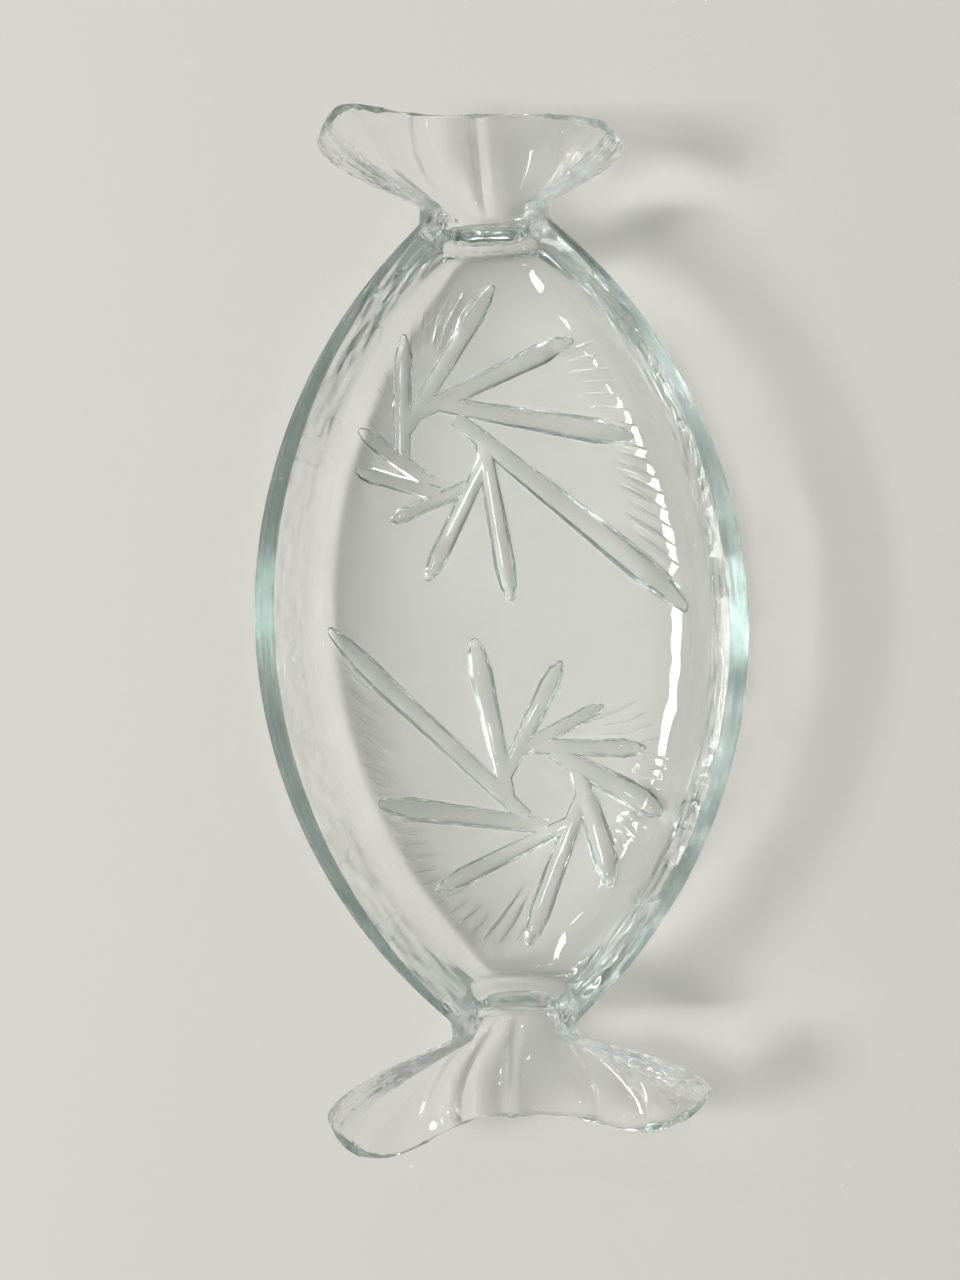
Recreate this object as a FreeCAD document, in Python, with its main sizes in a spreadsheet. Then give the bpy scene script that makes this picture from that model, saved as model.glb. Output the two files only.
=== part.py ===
import FreeCAD, Part
import math
import os

import Sketcher

# Sweet dish of clear pressed glass in the shape of a wrapped sweet.
#
# An oval bowl with a flat floor is the sweet, and at each end a short neck opens into a
# pleated fan, like the twisted ends of the wrapper. Two pinwheels of ten long flutes are
# pressed into the underside of the floor. The dish is one pressing. It is built here as
# regions of that pressing which meet face to face: the floor, the walls, the rim, the
# end walls under the two channels, the necks and the fans.
#
# Frame: millimetres, +Z up, +X along the dish, +Y across it. The origin is on the table,
# in the middle of the base. "north" is the end at +X and "left" is the side at +Y.

SIZES = {
    # outline of the rim: an arc along each side, and a short straight at each end
    "rim_half_width": 65.0,
    "rim_arc_end": 104.5,
    "rim_end_half_width": 17.4,
    "rim_straight": 3.5,
    "rim_height": 46.0,
    "rim_band": 4.0,  # height of the ground band along the top of the wall
    "wall": 4.6,
    # the same outline lower down, less than the rim's by so much at its sides and ends
    "low_wall_height": 16.0,
    "low_wall_in": 4.6,
    "low_wall_end_in": 1.4,
    "corner_height": 4.0,
    "corner_in": 10.9,
    "corner_end_in": 4.1,
    "base_in": 18.0,
    "base_end_in": 8.0,
    # inside
    "floor_thickness": 6.0,
    "inner_corner_height": 15.0,
    "inner_corner_reach": 10.8,
    "end_corner_reach": 4.4,
    # channels through the end walls
    "channel_half_width": 9.6,
    "channel_foot_half_width": 6.5,
    "channel_height": 24.5,
    "channel_foot_height": 30.0,
    # necks and fans
    "sheet": 4.6,  # thickness of the glass in the middle of the necks and fans
    "side_rim": 5.8,  # thickness of their side edges
    "neck_length": 5.0,
    "fan_middle_height": 34.0,
    "tip_height": 48.0,
    "pleat_depth": 2.2,
    # each fan: half widths to its tips, and lengths from the rim's end to each tip, to the
    # lobe beside it and to the middle of the outer edge
    "north_left": 43.0,
    "north_right": 39.0,
    "north_left_tip": 23.0,
    "north_right_tip": 16.0,
    "north_left_lobe": 31.0,
    "north_right_lobe": 25.5,
    "north_middle": 28.5,
    "south_left": 52.0,
    "south_right": 50.0,
    "south_left_tip": 24.0,
    "south_right_tip": 23.0,
    "south_left_lobe": 36.5,
    "south_right_lobe": 33.0,
    "south_middle": 28.5,
    # pinwheels
    "north_star_x": 48.6,
    "north_star_y": 16.9,
    "south_star_x": -48.3,
    "south_star_y": -8.2,
    "flute_root_half_width": 2.1,
    "flute_root_depth": 1.0,
    "flute_root_before": 2.6,  # how far a flute begins before its line passes the middle
    "flute_depth_share": 0.5,  # depth of a flute's tip as a share of half its width
}

# Flutes of each pinwheel in turn: direction in degrees from +X, distance of the tip from
# the middle of the pinwheel, how far the flute's middle line passes to the left of the
# middle, and half the flute's width at its tip.
NORTH_FLUTES = [
    (-34, 48.6, 12.0, 2.8), (-67, 48.8, 12.4, 3.1), (-102, 55.1, 12.6, 3.7),
    (-131, 84.5, 9.4, 4.1), (-172, 47.4, 11.7, 3.1), (152, 37.6, 12.2, 2.8),
    (111, 25.5, 12.6, 2.2), (72, 26.5, 12.4, 2.5), (52, 26.0, 9.6, 2.5),
    (-1, 35.5, 11.4, 3.2),
]
SOUTH_FLUTES = [
    (158, 46.1, 11.3, 3.3), (115, 43.5, 12.8, 2.8), (81, 48.7, 11.3, 3.5),
    (45, 77.5, 9.8, 3.3), (10, 46.8, 10.6, 3.3), (-28, 36.4, 11.2, 2.9),
    (-64, 29.0, 12.4, 2.3), (-93, 31.5, 11.4, 2.9), (-120, 37.4, 10.0, 4.0),
    (-164, 35.9, 10.6, 4.1),
]

# Ridges between the pleats of each wrapper fan, as shares of its half width.
NORTH_RIDGES = [-1.0, -0.5, -0.02, 0.38, 0.58, 1.0]
SOUTH_RIDGES = [-1.0, -0.78, -0.36, 0.02, 0.24, 0.5, 1.0]

FAR = 250.0  # past the dish in every direction, for boxes that split it
STATIONS = [0.0, 0.12, 0.24, 0.38, 0.55, 0.75, 1.0, 1.35, 1.9]  # shares of the tip's length
POINTS_ACROSS = 33

doc = FreeCAD.newDocument("sweet_dish")
sheet = doc.addObject("Spreadsheet::Sheet", "sizes")
for row, (name, number) in enumerate(SIZES.items(), start=1):
    sheet.set(f"A{row}", name)
    sheet.set(f"B{row}", str(number))
    sheet.setAlias(f"B{row}", name)
doc.recompute()


def size(name):
    return float(sheet.get(name))


def rim_end():
    return size("rim_arc_end") + size("rim_straight")


# ---- Bowl: an outside and a hollow, each lofted through outlines ----------------------


class Outline:
    """The rim's outline moved in by some expressions and set at a height."""

    def __init__(self, height, side_in="0", end_in="0"):
        self.height = height
        self.half_width = f"(sizes.rim_half_width - ({side_in}))"
        self.arc_end = f"(sizes.rim_arc_end - ({end_in}))"
        self.end_half_width = f"(sizes.rim_end_half_width - ({side_in}) * 0.5)"
        self.end = f"(sizes.rim_arc_end + sizes.rim_straight - ({end_in}))"

    def radius(self):
        w, e, x = self.half_width, self.end_half_width, self.arc_end
        return f"{w} + ({x} * {x} + {e} * {e} - {w} * {w}) / (2 * ({w} - {e}))"


def value(owner, expression):
    return float(owner.evalExpression(expression))


def add_outline(body, name, outline):
    """A sketch of the outline on its own level: two arcs and three lines at each end."""
    sketch = body.newObject("Sketcher::SketchObject", name)
    plane = next(f for f in body.Origin.OriginFeatures if f.Role == "XY_Plane")
    sketch.AttachmentSupport = [(plane, "")]
    sketch.MapMode = "FlatFace"
    sketch.setExpression("AttachmentOffset.Base.z", outline.height)

    x, e = value(sketch, outline.arc_end), value(sketch, outline.end_half_width)
    far, w = value(sketch, outline.end), value(sketch, outline.half_width)
    corners = [(x, e), (far, e), (far, -e), (x, -e), (-x, -e), (-far, -e), (-far, e), (-x, e)]
    exact = [
        (outline.arc_end, outline.end_half_width), (outline.end, outline.end_half_width),
        (outline.end, "-" + outline.end_half_width),
        (outline.arc_end, "-" + outline.end_half_width),
        ("-" + outline.arc_end, "-" + outline.end_half_width),
        ("-" + outline.end, "-" + outline.end_half_width),
        ("-" + outline.end, outline.end_half_width),
        ("-" + outline.arc_end, outline.end_half_width),
    ]
    points = [FreeCAD.Vector(a, b, 0) for a, b in corners]
    arcs = {3: FreeCAD.Vector(0, -w, 0), 7: FreeCAD.Vector(0, w, 0)}
    for i, start in enumerate(points):
        finish = points[(i + 1) % 8]
        if i in arcs:
            sketch.addGeometry(Part.Arc(start, arcs[i], finish), False)
        else:
            sketch.addGeometry(Part.LineSegment(start, finish), False)
    return sketch, points, exact, arcs


def end_points(sketch, index, start):
    """The numbers of the two ends of an edge, the one nearest to start first."""
    first = sketch.getPoint(index, 1)
    return (1, 2) if (first - start).Length < 1e-6 else (2, 1)


def constrain_outline(sketch, outline, points, exact, arcs):
    ends = [end_points(sketch, i, start) for i, start in enumerate(points)]
    for i in range(8):
        following = (i + 1) % 8
        sketch.addConstraint(
            Sketcher.Constraint("Coincident", i, ends[i][1], following, ends[following][0])
        )
    for i, (x, y) in enumerate(exact):
        line, spot = (i, ends[i][0]) if i not in arcs else (i - 1, ends[i - 1][1])
        for kind, number, expression in (
            ("DistanceX", points[i].x, x), ("DistanceY", points[i].y, y)
        ):
            index = sketch.addConstraint(Sketcher.Constraint(kind, -1, 1, line, spot, number))
            sketch.setExpression(f"Constraints[{index}]", expression)
    for i in arcs:
        index = sketch.addConstraint(
            Sketcher.Constraint("Radius", i, sketch.Geometry[i].Radius)
        )
        sketch.setExpression(f"Constraints[{index}]", outline.radius())
    return sketch


def outline_sketch(body, name, outline):
    sketch, points, exact, arcs = add_outline(body, name, outline)
    return constrain_outline(sketch, outline, points, exact, arcs)


def loft(body, name, kind, outlines):
    sketches = [outline_sketch(body, f"{name}_{i}", o) for i, o in enumerate(outlines)]
    feature = body.newObject(f"PartDesign::{kind}Loft", name)
    feature.Profile = (sketches[0], [""])
    feature.Sections = [(sketch, [""]) for sketch in sketches[1:]]
    feature.Ruled = True
    body.Tip = feature
    doc.recompute()
    return feature


OUTSIDE = [
    Outline("0", "sizes.base_in", "sizes.base_end_in"),
    Outline("sizes.corner_height", "sizes.corner_in", "sizes.corner_end_in"),
    Outline("sizes.low_wall_height", "sizes.low_wall_in", "sizes.low_wall_end_in"),
    Outline("sizes.rim_height"),
]
INNER_LEAN = "sizes.low_wall_in"
HOLLOW = [
    Outline(
        "sizes.floor_thickness",
        f"sizes.wall + {INNER_LEAN} + sizes.inner_corner_reach",
        "sizes.wall + sizes.end_corner_reach",
    ),
    Outline("sizes.inner_corner_height", f"sizes.wall + {INNER_LEAN}", "sizes.wall"),
    Outline("sizes.rim_height", "sizes.wall", "sizes.wall"),
]

blank = doc.addObject("PartDesign::Body", "bowl_outside")
loft(blank, "outside", "Additive", OUTSIDE)
cavity = doc.addObject("PartDesign::Body", "bowl_hollow")
loft(cavity, "hollow", "Additive", HOLLOW)


def boolean(kind, name, base, tool):
    result = doc.addObject(f"Part::{kind}", name)
    if kind == "Cut":
        result.Base = base
        result.Tool = tool
    else:
        result.Shapes = [base, tool]
    return result


def slab(name, low, high):
    """A box between two corners, each three expressions."""
    box = doc.addObject("Part::Box", name)
    for axis, side, a, b in zip("xyz", ("Length", "Width", "Height"), low, high):
        box.setExpression(f"Placement.Base.{axis}", a)
        box.setExpression(side, f"({b}) - ({a})")
    return box


def fixed_wire(points):
    corners = [FreeCAD.Vector(*point) for point in points]
    return Part.makePolygon(corners + corners[:1])


def channel_section(x):
    top, foot = size("channel_half_width"), size("channel_foot_half_width")
    return fixed_wire([
        (x, -foot, size("channel_height")), (x, foot, size("channel_height")),
        (x, top, size("channel_foot_height")), (x, top, FAR),
        (x, -top, FAR), (x, -top, size("channel_foot_height")),
    ])


shell = boolean("Cut", "bowl_shell", blank, cavity)
channel = doc.addObject("Part::Feature", "channel")
channel.Shape = Part.makeLoft([channel_section(-FAR), channel_section(FAR)], True, True)
open_shell = boolean("Cut", "open_shell", shell, channel)


# ---- Wrapper ends: neck and fan as one sheet, lofted through U-shaped sections --------


def clamp(share):
    return min(max(share, 0.0), 1.0)


def pleat(u, ridges):
    """0 on a ridge and 1 in the middle of a pleat, for u from -1 to 1 across the fan."""
    for low, high in zip(ridges, ridges[1:]):
        if low <= u <= high:
            return (1 - math.cos(2 * math.pi * (u - low) / (high - low))) / 2
    return 0.0


def blend(start, finish, share):
    return start + (finish - start) * share


def half_curve(share, half_width, surface, s):
    """Half the width and the height of a surface of the sheet, s from middle to edge.

    share runs from 0 where the neck leaves the bowl to 1 where the fan is widest."""
    opening = math.sin(math.pi / 2 * clamp((share - 0.08) / 0.86))
    rise = clamp(share)
    top = blend(size("rim_height"), size("tip_height"), rise)
    bottom = blend(size("channel_height"), size("fan_middle_height"), rise)
    width = blend(size("channel_half_width"), half_width - size("side_rim"), opening)
    if surface == "under":
        bottom -= size("sheet")
        rim = size("rim_end_half_width") - size("channel_half_width")
        width += blend(rim, size("side_rim"), opening)
    steepness = math.radians(blend(88, 48, opening))
    handle = 0.6 * (top - bottom)
    corners = [
        (0.0, bottom),
        (blend(0.9, 0.6, opening) * width, bottom),
        (width - handle / math.tan(steepness), top - handle),
        (width, top),
    ]
    weights = [(1 - s) ** 3, 3 * s * (1 - s) ** 2, 3 * s * s * (1 - s), s**3]
    return [sum(w * corner[k] for w, corner in zip(weights, corners)) for k in (0, 1)]


def surface_curve(x, share, end, ridges, surface):
    points = []
    for step in range(POINTS_ACROSS):
        u = -1 + 2 * step / (POINTS_ACROSS - 1)
        half_width = size(f"{end}_left") if u > 0 else size(f"{end}_right")
        y, z = half_curve(share, half_width, surface, abs(u))
        z -= size("pleat_depth") * clamp(share) * pleat(u, ridges)
        points.append(FreeCAD.Vector(x, math.copysign(y, u), z))
    return points


def spline(points):
    curve = Part.BSplineCurve()
    curve.interpolate(points)
    return curve.toShape()


def section(x, share, end, ridges):
    above = surface_curve(x, share, end, ridges, "above")
    below = surface_curve(x, share, end, ridges, "under")
    return Part.Wire([
        spline(above),
        Part.makeLine(above[-1], below[-1]),
        spline(below[::-1]),
        Part.makeLine(below[0], above[0]),
    ])


def outline_prism(end, side):
    """All that lies within the fan's outer edge, seen from above."""
    start = rim_end()
    middle = start + size(f"{end}_middle")
    points = []
    for across in (-1, 1):
        name = f"{end}_left" if across > 0 else f"{end}_right"
        half_width = size(name)
        tip, lobe = start + size(f"{name}_tip"), start + size(f"{name}_lobe")
        half = [
            (middle, 0.0), ((middle + lobe) / 2, 0.3), (lobe, 0.68), (tip + 2, 1.0),
            (tip - 4, 1.0 + 3 / half_width),
        ]
        half = [FreeCAD.Vector(side * x, across * y * half_width, 0) for x, y in half]
        points = half[:0:-1] + points if across < 0 else points + half
    back = [FreeCAD.Vector(0, points[-1].y, 0), FreeCAD.Vector(0, points[0].y, 0)]
    border = Part.Wire([
        spline(points),
        Part.makeLine(points[-1], back[0]),
        Part.makeLine(back[0], back[1]),
        Part.makeLine(back[1], points[0]),
    ])
    return Part.Face(border).extrude(FreeCAD.Vector(0, 0, FAR))


def wrapper_end(end, ridges, side):
    """The whole sheet of one wrapper end, from inside the bowl's wall to its outer edge."""
    start = rim_end()
    tip = (size(f"{end}_left_tip") + size(f"{end}_right_tip")) / 2
    shares = [-2 * size("wall") / tip] + STATIONS
    wires = [section(side * (start + tip * share), share, end, ridges) for share in shares]
    feature = doc.addObject("Part::Feature", f"{end}_sheet")
    feature.Shape = Part.makeLoft(wires, True, True).common(outline_prism(end, side))
    return feature


# ---- Pinwheels: each flute is the round bottom of a cone laid flat --------------------


def groove_radius(half_width, depth):
    """Radius of a round groove, and how far below the base its middle line runs."""
    radius = (half_width**2 + depth**2) / (2 * depth)
    return radius, radius - depth


def flute(centre, direction, reach, offset, half_width):
    """One flute: a cone along it and a ball at its tip."""
    root_radius, root_drop = groove_radius(size("flute_root_half_width"), size("flute_root_depth"))
    tip_radius, tip_drop = groove_radius(half_width, size("flute_depth_share") * half_width)
    angle = math.radians(direction)
    along = FreeCAD.Vector(math.cos(angle), math.sin(angle), 0)
    across = FreeCAD.Vector(-along.y, along.x, 0)
    start = centre + across * offset
    far = math.sqrt(reach**2 - offset**2) - half_width
    root = start - along * size("flute_root_before") - FreeCAD.Vector(0, 0, root_drop)
    tip = start + along * far - FreeCAD.Vector(0, 0, tip_drop)
    cone = Part.makeCone(root_radius, tip_radius, (tip - root).Length, root, tip - root)
    return [cone, Part.makeSphere(tip_radius, tip)]


def pinwheel(end, flutes):
    centre = FreeCAD.Vector(size(f"{end}_star_x"), size(f"{end}_star_y"), 0)
    cutters = []
    for shape in flutes:
        cutters += flute(centre, *shape)
    feature = doc.addObject("Part::Feature", f"{end}_pinwheel")
    feature.Shape = cutters[0].multiFuse(cutters[1:])
    return feature


# ---- Named pieces ---------------------------------------------------------------------

doc.recompute()
nodes = []


def sub_part(thing, label):
    thing.Label = label
    nodes.append(thing)
    return thing


def region(name, low, high):
    return boolean("MultiCommon", name, open_shell, slab(f"{name}_box", low, high))


plate = region(
    "floor_plate", (f"-{FAR}", f"-{FAR}", "0"), (f"{FAR}", f"{FAR}", "sizes.floor_thickness")
)
north_star = pinwheel("north", NORTH_FLUTES)
south_star = pinwheel("south", SOUTH_FLUTES)
doc.recompute()
half_cut = boolean("Cut", "floor_with_north_pinwheel", plate, north_star)
sub_part(boolean("Cut", "floor_with_pinwheels", half_cut, south_star), "bowl_floor")

BAND_FOOT = "sizes.rim_height - sizes.rim_band"
for side_name, near, far in (
    ("left", "sizes.rim_end_half_width", f"{FAR}"),
    ("right", f"-{FAR}", "-sizes.rim_end_half_width"),
):
    low, high = (f"-{FAR}", near, "sizes.floor_thickness"), (f"{FAR}", far, BAND_FOOT)
    sub_part(region(f"{side_name}_wall_region", low, high), f"bowl_wall_{side_name}")
    low, high = (f"-{FAR}", near, BAND_FOOT), (f"{FAR}", far, "sizes.rim_height")
    sub_part(region(f"{side_name}_rim_region", low, high), f"rim_{side_name}")

for end_name, side, ridges in (("north", 1, NORTH_RIDGES), ("south", -1, SOUTH_RIDGES)):
    near, far = ("0", f"{FAR}") if side > 0 else (f"-{FAR}", "0")
    low = (near, "-sizes.rim_end_half_width", "sizes.floor_thickness")
    high = (far, "sizes.rim_end_half_width", "sizes.rim_height")
    sub_part(region(f"{end_name}_end_region", low, high), f"end_wall_{end_name}")

    whole_end = wrapper_end(end_name, ridges, side)
    clear_end = boolean("Cut", f"{end_name}_clear_sheet", whole_end, blank)
    split = "sizes.rim_arc_end + sizes.rim_straight + sizes.neck_length"
    spans = {"neck": ("0", split), "wrapper_fan": (split, f"{FAR}")}
    if side < 0:
        spans = {key: (f"-({b})", f"-({a})") for key, (a, b) in spans.items()}
    for key, (near, far) in spans.items():
        box = slab(f"{end_name}_{key}_box", (near, f"-{FAR}", "0"), (far, f"{FAR}", f"{FAR}"))
        piece = boolean("MultiCommon", f"{end_name}_{key}_region", clear_end, box)
        sub_part(piece, f"{key}_{end_name}")

doc.recompute()
for feature in doc.Objects:
    if "Invalid" in feature.State or "Error" in feature.State:
        raise RuntimeError(f"{feature.Name} did not build")
os.makedirs("parts", exist_ok=True)
for node in nodes:
    shape = node.Shape
    if shape.isNull() or not shape.isValid() or len(shape.Solids) != 1:
        raise RuntimeError(f"{node.Label} is not one sound solid")
    shape.exportStep(f"parts/{node.Label}.step")
    print(f"{node.Label}: {shape.Volume / 1000:.2f} cm3")
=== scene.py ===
import math

import bpy
from mathutils import Matrix, Vector


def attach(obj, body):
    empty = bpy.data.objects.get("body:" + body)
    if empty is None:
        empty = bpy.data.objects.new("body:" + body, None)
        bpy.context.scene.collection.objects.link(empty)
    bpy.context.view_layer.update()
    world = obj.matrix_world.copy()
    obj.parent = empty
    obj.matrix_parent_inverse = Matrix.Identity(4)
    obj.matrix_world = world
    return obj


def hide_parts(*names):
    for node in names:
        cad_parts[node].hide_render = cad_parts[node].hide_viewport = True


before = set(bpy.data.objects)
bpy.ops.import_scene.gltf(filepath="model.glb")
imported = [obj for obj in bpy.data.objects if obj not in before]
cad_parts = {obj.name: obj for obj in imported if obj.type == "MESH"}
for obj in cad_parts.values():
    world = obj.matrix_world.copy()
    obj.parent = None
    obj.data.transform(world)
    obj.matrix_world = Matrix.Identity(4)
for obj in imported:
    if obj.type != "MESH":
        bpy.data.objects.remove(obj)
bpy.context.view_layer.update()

# ---- The blank of the dish --------------------------------------------------------------
# One pressing of clear glass: the bowl, two short necks and the two pleated fans. The walls
# lean out, the corners between them and the floor are rounded, and fine lines run along the
# top of the rim. It is one closed skin, drawn as cross-sections from fan to fan.

MM = 0.001
RIM_HEIGHT = 46.0
FLOOR_TOP = 6.0
NECK_INNER, NECK_OUTER = 10.8, 16.6
NECK_LINE = 108.0  # where each neck ends and its fan begins
INNER_ROUND, OUTER_ROUND = 15.0, 20.0  # of the corners between the floor and the walls
INNER_NECK_ROUND, OUTER_NECK_ROUND = 6.0, 8.0
EDGE_ROUND = 1.0  # height of the rounded top of the rim
BOWL_STREAKS, FAN_STREAKS = 0.18, 0.10  # height of the ridges along it

# Outlines of the bowl: half width in the middle, then x and half width at the end.
OUTER_RIM = (64.9, 104.5, 17.4)
INNER_RIM = (60.2, 105.5, 14.4)
OUTER_FOOT = (57.5, 99.0, 18.5)
INNER_FOOT = (53.4, 97.0, 16.6)
INNER_NECK_FOOT, OUTER_NECK_FOOT = 9.6, 12.5


def arc_width(x, half_width, end_x, end_width):
    """Half the width at x of an outline that is an arc along each side."""
    drop = (end_x**2 + end_width**2 - half_width**2) / (2 * (half_width - end_width))
    radius = half_width + drop
    return math.sqrt(max(radius**2 - x * x, 0.0)) - drop


def soft_max(a, b, reach):
    """The larger of two values, with a smooth change from one to the other."""
    return (a + b + math.sqrt((a - b) ** 2 + reach**2)) / 2


def blend(a, b, share):
    return a + (b - a) * share


def clamp(share):
    return min(max(share, 0.0), 1.0)


# Along each end of the bowl: the rim's x, then x and height of the inner skin's bottom
# line, then x and height of the outer skin's.
BOWL_END = [
    (97.0, 97.0, 6.0, 97.0, 0.0), (98.3, 98.2, 6.1, 98.6, 0.0), (99.4, 99.3, 6.5, 100.0, 0.0),
    (100.3, 100.2, 7.2, 101.2, 0.2), (101.1, 100.9, 8.3, 102.2, 0.8),
    (101.8, 101.5, 10.0, 103.0, 1.8), (102.5, 101.9, 12.5, 103.7, 3.4),
    (103.1, 102.2, 15.5, 104.3, 5.8), (103.6, 102.4, 18.5, 104.9, 8.8),
    (104.0, 102.6, 21.2, 105.5, 12.0), (104.4, 102.9, 23.4, 106.1, 14.8),
    (104.8, 103.4, 24.5, 106.6, 16.6), (105.3, 104.1, 25.0, 107.2, 18.0),
    (105.8, 104.9, 24.9, 107.8, 18.9), (106.3, 105.7, 24.5, 108.3, 19.4),
    (106.9, 106.4, 24.1, 108.8, 19.7), (107.5, 107.2, 23.6, 109.2, 19.9),
    (108.0, 108.0, 23.6, 109.6, 20.0),
]

LIP_BOW = 1.3  # how far the lip of each channel bows in over the bowl

# Each fan: half width to either side, and the outline of its free edge as (share of the
# half width, length past the neck line), then the ribs between its pleats.
FANS = {
    "north": {
        "left": 42.8, "right": 37.2,
        "edge": [
            (-1.0, 16.5), (-0.93, 20.5), (-0.85, 22.8), (-0.7, 25.2), (-0.5, 26.6),
            (-0.3, 27.3), (0.0, 27.7), (0.34, 28.3), (0.53, 29.4), (0.74, 30.4),
            (0.84, 30.3), (0.92, 28.8), (0.97, 26.0), (1.0, 22.5),
        ],
        "ribs": [-0.88, -0.47, 0.04, 0.43, 0.63, 0.88],
    },
    "south": {
        "left": 51.2, "right": 51.4,
        "edge": [
            (-1.0, 19.5), (-0.94, 23.5), (-0.85, 27.2), (-0.75, 30.0), (-0.62, 31.2),
            (-0.5, 30.4), (-0.34, 28.2), (-0.14, 27.0), (0.0, 27.1), (0.22, 27.4),
            (0.36, 29.4), (0.48, 32.2), (0.6, 35.0), (0.7, 36.2), (0.8, 35.6),
            (0.9, 33.0), (0.96, 30.0), (1.0, 26.0),
        ],
        "ribs": [-0.88, -0.66, -0.37, 0.05, 0.32, 0.51, 0.86],
    },
}
# Shares of a fan's length at which its rings lie, closest together at the free edge.
FAN_SHARES = [
    0.03, 0.06, 0.09, 0.12, 0.15, 0.18, 0.22, 0.26, 0.30, 0.34, 0.38, 0.42, 0.46, 0.50, 0.54,
    0.58, 0.62, 0.66, 0.70, 0.74, 0.78, 0.81, 0.84, 0.87, 0.90, 0.925, 0.945, 0.96, 0.974,
    0.985, 0.993, 0.998, 1.0,
]
PLEAT_ABOVE, PLEAT_BELOW = 2.1, -0.3  # how far each skin drops between two ribs
RIB_HEIGHT, RIB_HALF_WIDTH = 0.9, 1.7
SIDE_RIM = 6.4  # thickness of a fan along each side, before it thins towards the free edge
TIP_TUCK = 2.6  # how far the outline turns in past the widest point of a tip
CHANNEL_HEIGHT, FAN_MIDDLE, FAN_TIP = 23.6, 33.0, 47.4

FLAT, ROUND, UPRIGHT, TOP = 30, 10, 16, 17  # points along each part of half a section
RING_STEP = 2.5  # from ring to ring along the middle of the bowl


def curve_through(points, t):
    """A smooth line through points at even or uneven steps, at t."""
    for i in range(len(points) - 1):
        if t <= points[i + 1][0] or i == len(points) - 2:
            break
    (t0, a), (t1, b) = points[i], points[i + 1]
    before, after = points[max(i - 1, 0)], points[min(i + 2, len(points) - 1)]
    slope_a = (b - before[1]) / (t1 - before[0])
    slope_b = (after[1] - a) / (after[0] - t0)
    s, span = (t - t0) / (t1 - t0), t1 - t0
    return (
        (2 * s**3 - 3 * s * s + 1) * a + (s**3 - 2 * s * s + s) * span * slope_a
        + (3 * s * s - 2 * s**3) * b + (s**3 - s * s) * span * slope_b
    )


def half_section(corner, top, radius):
    """Points (y, z) from the middle, round a corner of some radius, and up to the top."""
    middle = Vector((0.0, corner[1]))
    corner, top = Vector(corner), Vector(top)
    up = (top - corner).normalized()
    back = (middle - corner).normalized()
    half_turn = math.acos(clamp((up.dot(back) + 1) / 2) * 2 - 1) / 2
    longest = min(0.75 * (corner - middle).length, 0.6 * (top - corner).length)
    reach = min(radius / math.tan(half_turn), longest)
    start, finish = corner + back * reach, corner + up * reach
    points = [middle.lerp(start, i / FLAT) for i in range(FLAT)]
    for i in range(ROUND):
        s = i / (ROUND - 1)
        points.append(start * (1 - s) ** 2 + corner * 2 * s * (1 - s) + finish * s * s)
    points += [finish.lerp(top, (i + 1) / UPRIGHT) for i in range(UPRIGHT)]
    return points


def rim_top(inner, outer, streaks, height):
    """Points across the top of the wall: rounded, with faint ridges along it."""
    points = []
    for i in range(1, TOP + 1):
        s = i / (TOP + 1)
        point = inner.lerp(outer, s)
        lift = height * (1.0 - abs(2 * s - 1) ** 2.6)
        point.y += lift + streaks * math.cos(6 * math.pi * s) * lift
        points.append(point)
    return points


def bowl_section(station):
    """Half a section of the bowl: its inner skin and its outer skin."""
    rim_x, in_x, in_z, out_x, out_z = station
    outer = soft_max(arc_width(rim_x, *OUTER_RIM), NECK_OUTER, 1.2)
    inner = soft_max(arc_width(rim_x, *INNER_RIM), NECK_INNER, 1.2)
    foot_in = min(arc_width(in_x, *INNER_FOOT), inner - 0.8)
    foot_in = soft_max(foot_in, INNER_NECK_FOOT, 1.0)
    foot_out = soft_max(arc_width(out_x, *OUTER_FOOT), OUTER_NECK_FOOT, 1.0)
    foot_out = min(foot_out, outer - 1.5)
    top_z = RIM_HEIGHT - EDGE_ROUND
    rise = clamp((in_z - FLOOR_TOP) / 18)  # 0 on the floor and 1 in the neck
    inner_round = blend(INNER_ROUND, INNER_NECK_ROUND, rise)
    outer_round = blend(OUTER_ROUND, OUTER_NECK_ROUND, rise)
    above = half_section((foot_in, in_z), (inner, top_z), inner_round)
    below = half_section((foot_out, out_z), (outer, top_z), outer_round)
    return above, below


def pleat(v, ribs):
    """0 on a rib and 1 in the middle of the pleat between two ribs."""
    for low, high in zip(ribs, ribs[1:]):
        if low < v < high:
            return math.sin(math.pi * (v - low) / (high - low)) ** 0.6
    return 0.0


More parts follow.
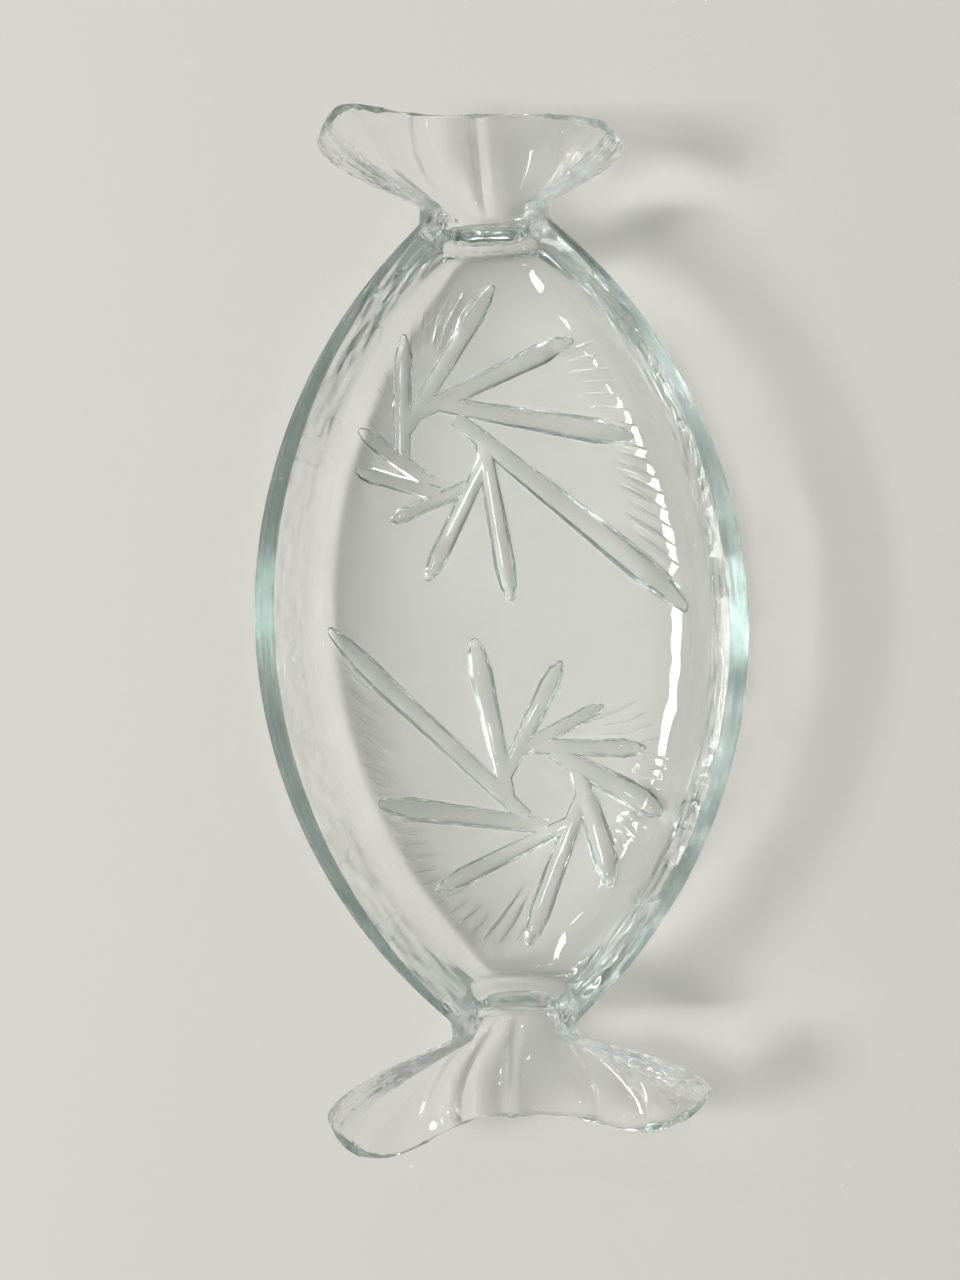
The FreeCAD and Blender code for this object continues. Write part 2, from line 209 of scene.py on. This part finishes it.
def fan_section(fan, share, sign):
    """Half a section of a fan, to its left for sign 1 and to its right for sign -1."""
    half_width = fan["left"] if sign > 0 else fan["right"]
    opening = math.sin(math.pi / 2 * clamp((share - 0.05) / 0.83))
    rim = blend(NECK_OUTER - NECK_INNER, SIDE_RIM, opening)
    rim *= 1 - 0.45 * clamp((share - 0.6) / 0.4)
    outer = blend(NECK_OUTER, half_width, opening) - TIP_TUCK * clamp((share - 0.84) / 0.16) ** 2
    inner = outer - rim
    top_z = blend(RIM_HEIGHT, FAN_TIP, share) - EDGE_ROUND
    in_z = blend(CHANNEL_HEIGHT, FAN_MIDDLE, share**0.8)
    thick = blend(4.4, 3.4, share)
    spread = blend(0.9, 0.62, opening)
    radius = blend(6.0, 16.0, opening)
    above = half_section((inner * spread, in_z), (inner, top_z), radius)
    below_corner = (inner * spread + 2.2 + thick * 0.3, in_z - thick)
    below = half_section(below_corner, (outer, top_z - 1.2 * opening), radius + 2)
    for points, depth in ((above, PLEAT_ABOVE), (below, PLEAT_BELOW)):
        for point in points:
            v = sign * point.x / outer
            point.y -= depth * clamp(share * 1.6 - 0.1) * pleat(v, fan["ribs"])
    scale = blend(NECK_OUTER, (fan["left"] + fan["right"]) / 2, opening)  # same for both sides
    for point in above[:-3]:
        near = scale * min(abs(sign * point.x / outer - rib) for rib in fan["ribs"])
        point.y += RIB_HEIGHT * clamp(share * 5) * math.exp(-((near / RIB_HALF_WIDTH) ** 2))
    return above, below


def thin_out(above, below, share):
    """The free edge of a fan is rounded: its two skins meet along the middle.

    The round is short along the thin sheet and long at the thick tips."""
    pairs = []
    for a, b in zip(above, below):
        tip = clamp((a.x / above[-1].x - 0.72) / 0.28)
        left = clamp((1 - share) / blend(0.07, 0.18, tip * tip * (3 - 2 * tip)))
        keep = math.sqrt(1 - (1 - left) ** 2)
        middle = (a + b) / 2
        pairs.append((middle.lerp(a, keep), middle.lerp(b, keep)))
    return [a for a, _ in pairs], [b for _, b in pairs]


def closed_loop(left, right, streaks, height):
    """Points (y, z, skin) once round a section: inner skin left to right, then back."""
    (left_above, left_below), (right_above, right_below) = left, right
    loop = [(p.x, p.y, 0) for p in reversed(left_above)]
    loop += [(-p.x, p.y, 0) for p in right_above[1:]]
    loop += [(-p.x, p.y, 1) for p in rim_top(right_above[-1], right_below[-1], streaks, height)]
    loop += [(-p.x, p.y, 2) for p in reversed(right_below)]
    loop += [(p.x, p.y, 2) for p in left_below[1:]]
    loop += [(p.x, p.y, 1) for p in rim_top(left_below[-1], left_above[-1], streaks, height)]
    return loop


def bowl_ring(station, side):
    """One ring round the bowl, in metres, at an end for side 1 and mirrored for side -1."""
    rim_x, in_x, in_z, out_x, out_z = station
    half = bowl_section(station)
    ring = []
    for y, z, skin in closed_loop(half, half, BOWL_STREAKS, EDGE_ROUND):
        if skin == 1:
            x = rim_x
        elif skin == 0:
            x = blend(in_x, rim_x, clamp((z - in_z) / (RIM_HEIGHT - EDGE_ROUND - in_z)))
            bow = LIP_BOW * clamp((in_z - 10) / 12) * clamp((NECK_LINE - in_x) / 3.5)
            x -= bow * (1 - clamp(abs(y) / 13) ** 2)
        else:
            x = blend(out_x, rim_x, clamp((z - out_z) / (RIM_HEIGHT - EDGE_ROUND - out_z)))
        ring.append(Vector((side * x, y, z)) * MM)
    return ring


def fan_ring(fan, share, side):
    """One ring round a fan, in metres: share 0 is at the neck and 1 at its free edge."""
    halves, widths = [], []
    for sign in (1, -1):
        above, below = fan_section(fan, share, sign)
        widths.append(below[-1].x)
        halves.append(thin_out(above, below, share))
    lift = EDGE_ROUND * math.sqrt(clamp((1 - share) / 0.26))
    ring = []
    for y, z, skin in closed_loop(halves[0], halves[1], FAN_STREAKS, lift):
        v = y / (widths[0] if y > 0 else widths[1])
        start = BOWL_END[-1][3] if skin == 2 else BOWL_END[-1][0]
        reach = NECK_LINE + curve_through(fan["edge"], max(min(v, 1.0), -1.0))
        ring.append(Vector((side * blend(start, reach, share), y, z)) * MM)
    return ring


rings = []
for share in reversed(FAN_SHARES):
    rings.append(fan_ring(FANS["south"], share, -1))
for station in reversed(BOWL_END):
    rings.append(bowl_ring(station, -1))
for i in range(-38, 39):
    x = RING_STEP * i
    rings.append(bowl_ring((x, x, FLOOR_TOP, x, 0.0), 1))
for station in BOWL_END:
    rings.append(bowl_ring(station, 1))
for share in FAN_SHARES:
    rings.append(fan_ring(FANS["north"], share, 1))

around = len(rings[0])
bpy.ops.object.select_all(action="DESELECT")
bpy.ops.mesh.primitive_grid_add(x_subdivisions=len(rings) - 1, y_subdivisions=around, size=1)
dish = bpy.context.object
dish.name = "crystal_dish"
for vertex in dish.data.vertices:
    i = round((vertex.co.x + 0.5) * (len(rings) - 1))
    j = round((vertex.co.y + 0.5) * around) % around
    vertex.co = rings[i][j]
bpy.ops.object.mode_set(mode="EDIT")
bpy.ops.mesh.select_all(action="SELECT")
bpy.ops.mesh.remove_doubles(threshold=0.00002)
bpy.ops.mesh.normals_make_consistent(inside=False)
bpy.ops.object.mode_set(mode="OBJECT")

# ---- Pinwheels --------------------------------------------------------------------------
# Two pinwheels of ten round-bottomed flutes are pressed into the underside of the floor,
# round a flat ten-sided button. Fine mitre cuts fill the gaps between the flutes and run
# out to the edge of the base.

# Each flute: direction in degrees from +X, distance of its tip from the middle of the
# pinwheel, how far its middle line passes to the left of the middle, and half its width.
PINWHEELS = [
    {
        "middle": (48.6, 16.9),
        "flutes": [
            (-34, 48.6, 12.0, 2.8), (-67, 48.8, 12.4, 3.1), (-102, 55.1, 12.6, 3.7),
            (-131, 84.5, 9.4, 4.1), (-172, 47.4, 11.7, 3.1), (152, 37.6, 12.2, 2.8),
            (111, 25.5, 12.6, 2.2), (72, 26.5, 12.4, 2.5), (52, 26.0, 9.6, 2.5),
            (-1, 35.5, 11.4, 3.2),
        ],
        "cut_gaps": {1: 7, 2: 9, 7: 5, 8: 6, 9: 6},
    },
    {
        "middle": (-48.3, -8.2),
        "flutes": [
            (158, 46.1, 11.3, 3.3), (115, 43.5, 12.8, 2.8), (81, 48.7, 11.3, 3.5),
            (45, 77.5, 9.8, 3.3), (10, 46.8, 10.6, 3.3), (-28, 36.4, 11.2, 2.9),
            (-64, 29.0, 12.4, 2.3), (-93, 31.5, 11.4, 2.9), (-120, 37.4, 10.0, 4.0),
            (-164, 35.9, 10.6, 4.1),
        ],
        "cut_gaps": {0: 7, 1: 6, 2: 8, 6: 4, 7: 5, 8: 6},
    },
]
ROOT_HALF_WIDTH, ROOT_DEPTH = 2.1, 1.0
ROOT_BEFORE = 2.6  # how far a flute begins before its line passes the middle
DEPTH_SHARE = 0.64  # depth of a flute as a share of half its width
# Along a flute past its root: share of its length, and width as a share of its widest.
FLUTE_SHAPE = [(0.62, 0.92), (0.80, 1.0), (0.92, 0.78), (1.0, 0.4)]
CUT_WIDTH, CUT_DEPTH = 2.6, 0.75
CUT_MARGIN = 4.0  # from the end of a cut to the edge of the base
CUT_LIMIT_X = 94  # the cuts stay on this side of the ends of the bowl
SHORTEST_CUT, LONGEST_CUT, CUT_STEP = 18, 90, 0.5


def groove_radius(half_width, depth):
    """Radius of a round groove, and how far under the base its middle line runs."""
    radius = (half_width**2 + depth**2) / (2 * depth)
    return radius, radius - depth


def line_of(middle, direction, offset):
    """Start and direction of a line that passes the middle of a pinwheel at an offset."""
    angle = math.radians(direction)
    along = Vector((math.cos(angle), math.sin(angle), 0))
    across = Vector((-along.y, along.x, 0))
    return Vector((middle[0], middle[1], 0)) + across * offset, along


def underside(x, y):
    """Height of the underside, which is flat in the middle and curves up to the wall."""
    section = bowl_section((x, x, FLOOR_TOP, x, 0.0))[1]
    for a, b in zip(section, section[1:]):
        if a.x <= abs(y) <= b.x:
            return blend(a.y, b.y, (abs(y) - a.x) / (b.x - a.x))
    return 0.0


def flute_cutter(middle, direction, reach, offset, half_width):
    """A round-bottomed flute, leaf-shaped: cones along it and a ball at each joint."""
    root_radius, root_drop = groove_radius(ROOT_HALF_WIDTH, ROOT_DEPTH)
    start, along = line_of(middle, direction, offset)
    far = math.sqrt(reach**2 - offset**2) - FLUTE_SHAPE[-1][1] * half_width
    stops = [(start - along * ROOT_BEFORE, root_radius)]
    stops[0][0].z = -root_drop
    for share, size in FLUTE_SHAPE:
        radius, drop = groove_radius(half_width * size, DEPTH_SHARE * half_width * size)
        point = start + along * far * share
        point.z = underside(point.x, point.y) - drop
        stops.append((point, radius))
    solids = []
    for (near, near_radius), (end, end_radius) in zip(stops, stops[1:]):
        turn = (end - near).to_track_quat("Z", "X").to_euler()
        bpy.ops.object.select_all(action="DESELECT")
        bpy.ops.mesh.primitive_cone_add(
            vertices=64, radius1=near_radius * MM, radius2=end_radius * MM,
            depth=(end - near).length * MM, location=(near + end) / 2 * MM, rotation=turn,
        )
        solids.append(bpy.context.object)
        bpy.ops.mesh.primitive_uv_sphere_add(
            segments=64, ring_count=32, radius=end_radius * MM, location=end * MM, rotation=turn
        )
        solids.append(bpy.context.object)
    return solids


def cut_reach(start, along):
    """How far a cut can run before it comes near the edge of the base."""
    distance = 0.0
    while distance < LONGEST_CUT:
        point = start + along * distance
        edge = arc_width(point.x, *OUTER_FOOT) - CUT_MARGIN
        if abs(point.x) > CUT_LIMIT_X or abs(point.y) > edge:
            break
        distance += CUT_STEP
    return distance


def mitre_cutter(start, finish):
    """A V-shaped cut that fades out at both ends: a stretched octahedron."""
    start.z, finish.z = underside(start.x, start.y), underside(finish.x, finish.y)
    middle = (start + finish) / 2
    middle.z = underside(middle.x, middle.y)
    turn = (finish - start).to_track_quat("X", "Z").to_euler()
    bpy.ops.object.select_all(action="DESELECT")
    bpy.ops.mesh.primitive_uv_sphere_add(
        segments=4, ring_count=2, radius=1, location=middle * MM, rotation=turn
    )
    cut = bpy.context.object
    cut.scale = ((finish - start).length / 2 * MM, CUT_WIDTH / 2 * MM, CUT_DEPTH * MM)
    bpy.ops.object.transform_apply(location=True, rotation=True, scale=True)
    return cut


def gap_cutters(middle, first, second, count):
    """Mitre cuts spread over the gap between two flutes."""
    turn = (first[0] - second[0]) % 360
    cutters = []
    for i in range(count):
        share = (i + 0.8) / (count + 0.6)
        offset = blend(first[2], second[2], share)
        start, along = line_of(middle, first[0] - turn * share, offset)
        far = min(cut_reach(start, along), 1.12 * max(first[1], second[1]))
        if far > SHORTEST_CUT:
            near = far * blend(0.5, 0.58, i % 2)
            cutters.append(mitre_cutter(start + along * near, start + along * far))
    return cutters


tools = bpy.data.collections.new("cutting_tools")
cutters = []
for wheel in PINWHEELS:
    flutes = wheel["flutes"]
    for shape in flutes:
        cutters += flute_cutter(wheel["middle"], *shape)
    for gap, count in wheel["cut_gaps"].items():
        cutters += gap_cutters(wheel["middle"], flutes[gap], flutes[(gap + 1) % 10], count)
for cutter in cutters:
    tools.objects.link(cutter)
change = dish.modifiers.new("pinwheels", "BOOLEAN")
change.operation, change.solver = "DIFFERENCE", "MANIFOLD"
change.operand_type, change.collection = "COLLECTION", tools
bpy.ops.object.select_all(action="DESELECT")
dish.select_set(True)
bpy.context.view_layer.objects.active = dish
whole = len(dish.data.polygons)
bpy.ops.object.modifier_apply(modifier=change.name)
if len(dish.data.polygons) == whole:
    raise RuntimeError("the pinwheels were not cut into the dish")
for cutter in cutters:
    bpy.data.objects.remove(cutter)
bpy.data.collections.remove(tools)

bpy.ops.object.select_all(action="DESELECT")
dish.select_set(True)
bpy.context.view_layer.objects.active = dish
bpy.ops.object.shade_smooth_by_angle(angle=math.radians(34))
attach(dish, "root")
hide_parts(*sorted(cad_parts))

# ---- Crystal ----------------------------------------------------------------------------
# Clear glass with a faint green-blue tint that only shows where the way through it is long,
# in the rim. Its skin has slow waves, pebbling on the fans and fine lines on the rim.

crystal = bpy.data.materials.new("clear_crystal")
crystal.use_nodes = True
nodes, links = crystal.node_tree.nodes, crystal.node_tree.links
glass = nodes["Principled BSDF"]
glass.inputs["Base Color"].default_value = (1, 1, 1, 1)
glass.inputs["Transmission Weight"].default_value = 1.0
glass.inputs["IOR"].default_value = 1.52
glass.inputs["Roughness"].default_value = 0.0
tint = nodes.new("ShaderNodeVolumeAbsorption")
tint.inputs["Color"].default_value = (0.425, 0.60, 0.54, 1)
tint.inputs["Density"].default_value = 8.0
links.new(tint.outputs["Volume"], nodes["Material Output"].inputs["Volume"])

place = nodes.new("ShaderNodeTexCoord")
# slow waves all over the skin
waves = nodes.new("ShaderNodeTexNoise")
waves.inputs["Scale"].default_value = 70.0
waves.inputs["Detail"].default_value = 1.0
links.new(place.outputs["Object"], waves.inputs["Vector"])
# tighter pebbling on the thick sides of the fans
pebbles = nodes.new("ShaderNodeTexNoise")
pebbles.inputs["Scale"].default_value = 420.0
pebbles.inputs["Detail"].default_value = 0.0
links.new(place.outputs["Object"], pebbles.inputs["Vector"])
where = nodes.new("ShaderNodeSeparateXYZ")
links.new(place.outputs["Object"], where.inputs["Vector"])
distance = nodes.new("ShaderNodeMath")
distance.operation = "ABSOLUTE"
links.new(where.outputs["X"], distance.inputs[0])
on_ends = nodes.new("ShaderNodeMapRange")
on_ends.inputs["From Min"].default_value = 0.100
on_ends.inputs["From Max"].default_value = 0.112
links.new(distance.outputs[0], on_ends.inputs["Value"])
near_top = nodes.new("ShaderNodeMapRange")
near_top.inputs["From Min"].default_value = 0.034
near_top.inputs["From Max"].default_value = 0.042
links.new(where.outputs["Z"], near_top.inputs["Value"])
rough_ends = nodes.new("ShaderNodeMath")
rough_ends.operation = "MULTIPLY"
links.new(on_ends.outputs["Result"], rough_ends.inputs[0])
links.new(near_top.outputs["Result"], rough_ends.inputs[1])

wave_bump = nodes.new("ShaderNodeBump")
wave_bump.inputs["Strength"].default_value = 0.22
wave_bump.inputs["Distance"].default_value = 0.002
links.new(waves.outputs["Fac"], wave_bump.inputs["Height"])
pebble_bump = nodes.new("ShaderNodeBump")
pebble_bump.inputs["Distance"].default_value = 0.0004
links.new(rough_ends.outputs[0], pebble_bump.inputs["Strength"])
links.new(pebbles.outputs["Fac"], pebble_bump.inputs["Height"])
links.new(wave_bump.outputs["Normal"], pebble_bump.inputs["Normal"])

# fine lines that run along the top of the rim
lay = nodes.new("ShaderNodeMapping")
lay.inputs["Scale"].default_value = (7.0, 170.0, 1.0)
links.new(place.outputs["UV"], lay.inputs["Vector"])
lines = nodes.new("ShaderNodeTexNoise")
lines.inputs["Scale"].default_value = 1.0
lines.inputs["Detail"].default_value = 2.0
links.new(lay.outputs["Vector"], lines.inputs["Vector"])
ground = nodes.new("ShaderNodeMapRange")
ground.inputs["From Min"].default_value = 0.0445
ground.inputs["From Max"].default_value = 0.0455
ground.inputs["To Max"].default_value = 0.6
links.new(where.outputs["Z"], ground.inputs["Value"])
line_bump = nodes.new("ShaderNodeBump")
line_bump.inputs["Distance"].default_value = 0.0008
links.new(ground.outputs["Result"], line_bump.inputs["Strength"])
links.new(lines.outputs["Fac"], line_bump.inputs["Height"])
links.new(pebble_bump.outputs["Normal"], line_bump.inputs["Normal"])
links.new(line_bump.outputs["Normal"], glass.inputs["Normal"])
dish.data.materials.clear()
dish.data.materials.append(crystal)

# ---- Stage ------------------------------------------------------------------------------
# A plain pale floor just under the base, a room that is brighter on one side, one broad
# lamp and two narrow strips for highlights.

FLOOR_GAP = 0.0004
bpy.ops.mesh.primitive_plane_add(size=6, location=(0, 0, -FLOOR_GAP))
floor = bpy.context.object
floor.name = "floor"
paint = bpy.data.materials.new("floor_paint")
paint.use_nodes = True
coat = paint.node_tree.nodes["Principled BSDF"]
coat.inputs["Base Color"].default_value = (0.66, 0.65, 0.60, 1)
coat.inputs["Roughness"].default_value = 0.6
floor.data.materials.append(paint)

world = bpy.data.worlds.new("room")
bpy.context.scene.world = world
world.use_nodes = True
air, joins = world.node_tree.nodes, world.node_tree.links
look = air.new("ShaderNodeTexCoord")
# the room is brighter on the side of the lamp
side = air.new("ShaderNodeVectorMath")
side.operation = "DOT_PRODUCT"
side.inputs[1].default_value = (0.4, 0.65, 0.65)
joins.new(look.outputs["Generated"], side.inputs[0])
spread = air.new("ShaderNodeMapRange")
spread.inputs["From Min"].default_value = -1.0
joins.new(side.outputs["Value"], spread.inputs["Value"])
tone = air.new("ShaderNodeValToRGB")
joins.new(spread.outputs["Result"], tone.inputs["Fac"])
tone.color_ramp.elements[0].position = 0.3
tone.color_ramp.elements[0].color = (0.34, 0.35, 0.34, 1)
tone.color_ramp.elements[1].position = 0.78
tone.color_ramp.elements[1].color = (1.0, 1.0, 1.0, 1)
joins.new(tone.outputs["Color"], air["Background"].inputs["Color"])
air["Background"].inputs["Strength"].default_value = 0.5


def softbox(name, place, size_x, size_y, power):
    """A rectangular lamp aimed at the middle of the dish."""
    bpy.ops.object.light_add(type="AREA", location=place)
    lamp = bpy.context.object
    lamp.name = name
    lamp.data.shape = "RECTANGLE"
    lamp.data.size, lamp.data.size_y = size_x, size_y
    lamp.data.energy = power
    lamp.rotation_euler = (-Vector(place)).to_track_quat("-Z", "Y").to_euler()
    return lamp


key = softbox("key", (-0.1, 1.8, 2.4), 0.9, 0.9, 61)
key.visible_glossy = False  # the broad lamp lights the dish; the strips draw the highlights
softbox("strip_left", (0.15, 0.95, 1.3), 0.03, 0.15, 0.5)
softbox("strip_end", (0.9, 0.35, 1.2), 0.16, 0.03, 0.6)

# ---- Camera -----------------------------------------------------------------------------
# Almost straight above the dish, with its long axis up the frame, turned a little.

LEAN = 0.039  # radians
eye = Vector((0.0209, -0.0302, 0.5525))
target = Vector((-0.0037, 0.0052, 0.046))
forward = (target - eye).normalized()
up = Vector((math.cos(LEAN), -math.sin(LEAN), 0))
right = forward.cross(up).normalized()
up = right.cross(forward)
data = bpy.data.cameras.new("camera")
camera = bpy.data.objects.new("camera", data)
bpy.context.collection.objects.link(camera)
turn = Matrix((right, up, -forward)).transposed().to_4x4()
camera.matrix_world = Matrix.Translation(eye) @ turn
data.sensor_fit = "VERTICAL"
data.sensor_height = 36.0
data.lens = 54.5
bpy.context.scene.camera = camera
bpy.context.scene.view_settings.view_transform = "Standard"

# Light has to pass through the glass to the floor, and along the inside of the rim.
paths = bpy.context.scene.cycles
paths.blur_glossy = 0.0
paths.max_bounces = 32
paths.glossy_bounces = 24
paths.transmission_bounces = 32
paths.sample_clamp_indirect = 40.0
